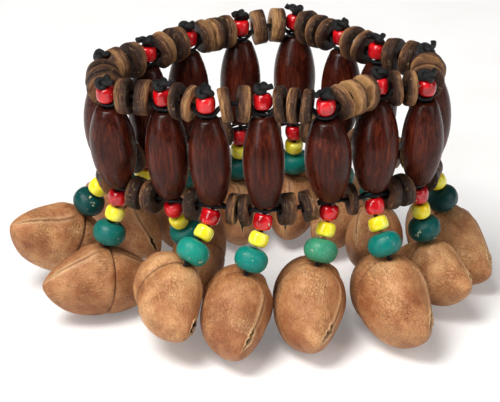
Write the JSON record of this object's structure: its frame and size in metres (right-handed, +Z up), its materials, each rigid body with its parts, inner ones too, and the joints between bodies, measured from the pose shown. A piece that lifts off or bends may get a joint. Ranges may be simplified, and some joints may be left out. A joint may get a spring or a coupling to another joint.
{
  "type": "nutshell shaker bracelet",
  "caption": "Shaker bracelet: upright dark wooden beads strung in a ring between two rows of coconut discs, with hollow split nutshells hanging below on red, yellow and green beads.",
  "frame": {"origin": "middle of the whole footprint, on the table it stands on", "axes": "+X to the right seen from the front (the longest way), +Y to the back, +Z up through the ring"},
  "size_m": [0.1305, 0.1004, 0.0707],
  "materials": {
    "cord": "waxed black cotton cord",
    "coconut": "sawn and tumbled coconut shell, satin",
    "olive_wood": "dark mahogany stain under gloss varnish",
    "red_glaze": "gloss red",
    "yellow_glaze": "gloss yellow",
    "green_paint": "painted wood, worn gloss",
    "nutshell": "dry fibrous shell, satin"
  },
  "bodies": {
    "ring": {"upper_ring_cords": "cord", "lower_ring_cords": "cord", "pillar_cords": "cord", "upper_discs": "coconut", "lower_discs": "coconut", "top_red_beads": "red_glaze", "lower_red_beads": "red_glaze", "yellow_beads": "yellow_glaze"},
    "olive_01": {"olive_bead_01": "olive_wood"},
    "olive_02": {"olive_bead_02": "olive_wood"},
    "olive_03": {"olive_bead_03": "olive_wood"},
    "olive_04": {"olive_bead_04": "olive_wood"},
    "olive_05": {"olive_bead_05": "olive_wood"},
    "olive_06": {"olive_bead_06": "olive_wood"},
    "olive_07": {"olive_bead_07": "olive_wood"},
    "olive_08": {"olive_bead_08": "olive_wood"},
    "olive_09": {"olive_bead_09": "olive_wood"},
    "olive_10": {"olive_bead_10": "olive_wood"},
    "olive_11": {"olive_bead_11": "olive_wood"},
    "olive_12": {"olive_bead_12": "olive_wood"},
    "olive_13": {"olive_bead_13": "olive_wood"},
    "olive_14": {"olive_bead_14": "olive_wood"},
    "olive_15": {"olive_bead_15": "olive_wood"},
    "pendant_01": {"green_bead_01": "green_paint"},
    "pendant_02": {"green_bead_02": "green_paint"},
    "pendant_03": {"green_bead_03": "green_paint"},
    "pendant_04": {"green_bead_04": "green_paint"},
    "pendant_05": {"green_bead_05": "green_paint"},
    "pendant_06": {"green_bead_06": "green_paint"},
    "pendant_07": {"green_bead_07": "green_paint"},
    "pendant_08": {"green_bead_08": "green_paint"},
    "pendant_09": {"green_bead_09": "green_paint"},
    "pendant_10": {"green_bead_10": "green_paint"},
    "pendant_11": {"green_bead_11": "green_paint"},
    "pendant_12": {"green_bead_12": "green_paint"},
    "pendant_13": {"green_bead_13": "green_paint"},
    "pendant_14": {"green_bead_14": "green_paint"},
    "pendant_15": {"green_bead_15": "green_paint"},
    "shell_01": {"nutshell_01": "nutshell"},
    "shell_02": {"nutshell_02": "nutshell"},
    "shell_03": {"nutshell_03": "nutshell"},
    "shell_04": {"nutshell_04": "nutshell"},
    "shell_05": {"nutshell_05": "nutshell"},
    "shell_06": {"nutshell_06": "nutshell"},
    "shell_07": {"nutshell_07": "nutshell"},
    "shell_08": {"nutshell_08": "nutshell"},
    "shell_09": {"nutshell_09": "nutshell"},
    "shell_10": {"nutshell_10": "nutshell"},
    "shell_11": {"nutshell_11": "nutshell"},
    "shell_12": {"nutshell_12": "nutshell"},
    "shell_13": {"nutshell_13": "nutshell"},
    "shell_14": {"nutshell_14": "nutshell"},
    "shell_15": {"nutshell_15": "nutshell"}
  },
  "joints": [
    {"name": "olive_spin_01", "type": "hinge", "parent": "ring", "child": "olive_01", "pos_m": [0.0035, -0.02755, 0.0375], "axis": [-0.0235, 0.1373, 0.9903], "continuous": true},
    {"name": "olive_spin_02", "type": "hinge", "parent": "ring", "child": "olive_02", "pos_m": [0.02014, -0.02293, 0.0379], "axis": [-0.0588, -0.1569, 0.9859], "continuous": true},
    {"name": "olive_spin_03", "type": "hinge", "parent": "ring", "child": "olive_03", "pos_m": [0.03126, -0.0201, 0.0383], "axis": [0.0314, 0.1725, 0.9845], "continuous": true},
    {"name": "olive_spin_04", "type": "hinge", "parent": "ring", "child": "olive_04", "pos_m": [0.04376, -0.01139, 0.0369], "axis": [0.0275, -0.0784, 0.9965], "continuous": true},
    {"name": "olive_spin_05", "type": "hinge", "parent": "ring", "child": "olive_05", "pos_m": [0.04826, 0.00388, 0.0379], "axis": [-0.0706, -0.0588, 0.9958], "continuous": true},
    {"name": "olive_spin_06", "type": "hinge", "parent": "ring", "child": "olive_06", "pos_m": [0.03346, 0.01151, 0.0373], "axis": [0, -0.0392, 0.9992], "continuous": true},
    {"name": "olive_spin_07", "type": "hinge", "parent": "ring", "child": "olive_07", "pos_m": [0.02447, 0.0196, 0.0371], "axis": [0, 0.0392, 0.9992], "continuous": true},
    {"name": "olive_spin_08", "type": "hinge", "parent": "ring", "child": "olive_08", "pos_m": [0.01197, 0.02782, 0.0375], "axis": [0, 0.1373, 0.9905], "continuous": true},
    {"name": "olive_spin_09", "type": "hinge", "parent": "ring", "child": "olive_09", "pos_m": [-0.00297, 0.02658, 0.0368], "axis": [0, 0.0784, 0.9969], "continuous": true},
    {"name": "olive_spin_10", "type": "hinge", "parent": "ring", "child": "olive_10", "pos_m": [-0.01707, 0.0191, 0.0369], "axis": [0, 0.0392, 0.9992], "continuous": true},
    {"name": "olive_spin_11", "type": "hinge", "parent": "ring", "child": "olive_11", "pos_m": [-0.02746, 0.00951, 0.0373], "axis": [0, -0.0392, 0.9992], "continuous": true},
    {"name": "olive_spin_12", "type": "hinge", "parent": "ring", "child": "olive_12", "pos_m": [-0.03826, 0.00088, 0.037], "axis": [-0.0157, -0.0588, 0.9981], "continuous": true},
    {"name": "olive_spin_13", "type": "hinge", "parent": "ring", "child": "olive_13", "pos_m": [-0.03441, -0.01339, 0.0373], "axis": [-0.0784, -0.1569, 0.9845], "continuous": true},
    {"name": "olive_spin_14", "type": "hinge", "parent": "ring", "child": "olive_14", "pos_m": [-0.02051, -0.0209, 0.0373], "axis": [-0.0588, 0, 0.9983], "continuous": true},
    {"name": "olive_spin_15", "type": "hinge", "parent": "ring", "child": "olive_15", "pos_m": [-0.00964, -0.02443, 0.0374], "axis": [-0.0588, -0.0392, 0.9975], "continuous": true},
    {"name": "pendant_swing_01", "type": "hinge", "parent": "ring", "child": "pendant_01", "pos_m": [0.00116, -0.03042, 0.02832], "axis": [-0.9659, -0.2588, 0], "range_deg": [0, 16]},
    {"name": "pendant_swing_02", "type": "hinge", "parent": "ring", "child": "pendant_02", "pos_m": [0.01864, -0.02541, 0.02852], "axis": [-0.9659, -0.2588, 0], "range_deg": [-8, 18]},
    {"name": "pendant_swing_03", "type": "hinge", "parent": "ring", "child": "pendant_03", "pos_m": [0.03333, -0.02364, 0.0293], "axis": [-0.9397, -0.342, 0], "range_deg": [-4, 18]},
    {"name": "pendant_swing_04", "type": "hinge", "parent": "ring", "child": "pendant_04", "pos_m": [0.04507, -0.01085, 0.02707], "axis": [-0.788, -0.6157, 0], "range_deg": [0, 18]},
    {"name": "pendant_swing_05", "type": "hinge", "parent": "ring", "child": "pendant_05", "pos_m": [0.05072, 0.00455, 0.0283], "axis": [-0.2588, -0.9659, 0], "range_deg": [0, 18]},
    {"name": "pendant_swing_06", "type": "hinge", "parent": "ring", "child": "pendant_06", "pos_m": [0.03377, 0.01118, 0.02736], "axis": [-0.866, 0.5, 0], "range_deg": [-3, 16]},
    {"name": "pendant_swing_07", "type": "hinge", "parent": "ring", "child": "pendant_07", "pos_m": [0.02453, 0.02068, 0.02722], "axis": [0.766, -0.6428, 0], "range_deg": [-5, 18]},
    {"name": "pendant_swing_08", "type": "hinge", "parent": "ring", "child": "pendant_08", "pos_m": [0.01204, 0.02933, 0.02772], "axis": [0.9659, -0.2588, 0], "range_deg": [0, 18]},
    {"name": "pendant_swing_09", "type": "hinge", "parent": "ring", "child": "pendant_09", "pos_m": [-0.00329, 0.02774, 0.02695], "axis": [0.9659, 0.2588, 0], "range_deg": [-3, 18]},
    {"name": "pendant_swing_10", "type": "hinge", "parent": "ring", "child": "pendant_10", "pos_m": [-0.01827, 0.02101, 0.02725], "axis": [0.866, 0.5, 0], "range_deg": [-8, 18]},
    {"name": "pendant_swing_11", "type": "hinge", "parent": "ring", "child": "pendant_11", "pos_m": [-0.02967, 0.01152, 0.02786], "axis": [0.6428, 0.766, 0], "range_deg": [-4, 18]},
    {"name": "pendant_swing_12", "type": "hinge", "parent": "ring", "child": "pendant_12", "pos_m": [-0.04198, 0.00214, 0.02797], "axis": [-0.2588, 0.9659, 0], "range_deg": [0, 18]},
    {"name": "pendant_swing_13", "type": "hinge", "parent": "ring", "child": "pendant_13", "pos_m": [-0.03621, -0.01395, 0.0276], "axis": [-0.5736, 0.8192, 0], "range_deg": [-4, 18]},
    {"name": "pendant_swing_14", "type": "hinge", "parent": "ring", "child": "pendant_14", "pos_m": [-0.0181, -0.01752, 0.02836], "axis": [0.7071, -0.7071, 0], "range_deg": [0, 18]},
    {"name": "pendant_swing_15", "type": "hinge", "parent": "ring", "child": "pendant_15", "pos_m": [-0.0131, -0.02796, 0.02901], "axis": [-0.866, 0.5, 0], "range_deg": [0, 18]},
    {"name": "nutshell_rock_01", "type": "hinge", "parent": "pendant_01", "child": "shell_01", "pos_m": [-0.0012, -0.03284, 0.02214], "axis": [-0.976, 0.017, 0.2172], "range_deg": [-2, 10]},
    {"name": "nutshell_rock_02", "type": "hinge", "parent": "pendant_02", "child": "shell_02", "pos_m": [0.01703, -0.02827, 0.02228], "axis": [-0.9874, -0.0172, 0.157], "range_deg": [-4, 12]},
    {"name": "nutshell_rock_03", "type": "hinge", "parent": "pendant_03", "child": "shell_03", "pos_m": [0.03544, -0.02662, 0.02327], "axis": [-0.9458, -0.3073, -0.1054], "range_deg": [0, 12]},
    {"name": "nutshell_rock_04", "type": "hinge", "parent": "pendant_04", "child": "shell_04", "pos_m": [0.04643, -0.01054, 0.02016], "axis": [-0.8234, -0.5554, -0.1165], "range_deg": [-3, 4]},
    {"name": "nutshell_rock_05", "type": "hinge", "parent": "pendant_05", "child": "shell_05", "pos_m": [0.05296, 0.00505, 0.02164], "axis": [-0.8574, -0.4753, -0.1976], "range_deg": [-2, 6]},
    {"name": "nutshell_rock_06", "type": "hinge", "parent": "pendant_06", "child": "shell_06", "pos_m": [0.03408, 0.01074, 0.02033], "axis": [0.9556, -0.2922, 0.0376], "range_deg": [-4, 6]},
    {"name": "nutshell_rock_07", "type": "hinge", "parent": "pendant_07", "child": "shell_07", "pos_m": [0.0246, 0.02186, 0.02027], "axis": [0.8561, -0.5144, -0.0495], "range_deg": [-6, 10]},
    {"name": "nutshell_rock_08", "type": "hinge", "parent": "pendant_08", "child": "shell_08", "pos_m": [0.0121, 0.03119, 0.02092], "axis": [0.9813, -0.1907, -0.0267], "range_deg": [-4, 10]},
    {"name": "nutshell_rock_09", "type": "hinge", "parent": "pendant_09", "child": "shell_09", "pos_m": [-0.0036, 0.0291, 0.02004], "axis": [0.9944, 0.1045, -0.0149], "range_deg": [-6, 10]},
    {"name": "nutshell_rock_10", "type": "hinge", "parent": "pendant_10", "child": "shell_10", "pos_m": [-0.01945, 0.023, 0.02059], "axis": [0.8829, 0.4694, -0.01], "range_deg": [-10, 10]},
    {"name": "nutshell_rock_11", "type": "hinge", "parent": "pendant_11", "child": "shell_11", "pos_m": [-0.03184, 0.01338, 0.02142], "axis": [0.6156, 0.788, 0.0122], "range_deg": [-10, 10]},
    {"name": "nutshell_rock_12", "type": "hinge", "parent": "pendant_12", "child": "shell_12", "pos_m": [-0.04564, 0.0032, 0.02204], "axis": [-0.334, 0.9175, 0.2158], "range_deg": [0, 12]},
    {"name": "nutshell_rock_13", "type": "hinge", "parent": "pendant_13", "child": "shell_13", "pos_m": [-0.0382, -0.01494, 0.02091], "axis": [-0.4067, 0.9135, -0.0091], "range_deg": [-4, 10]},
    {"name": "nutshell_rock_14", "type": "hinge", "parent": "pendant_14", "child": "shell_14", "pos_m": [-0.01593, -0.01423, 0.02252], "axis": [-0.9358, 0.3406, -0.0907], "range_deg": [-4, 2]},
    {"name": "nutshell_rock_15", "type": "hinge", "parent": "pendant_15", "child": "shell_15", "pos_m": [-0.01658, -0.03144, 0.02397], "axis": [-0.86, -0.2794, 0.4271], "range_deg": [0, 6]}
  ]
}
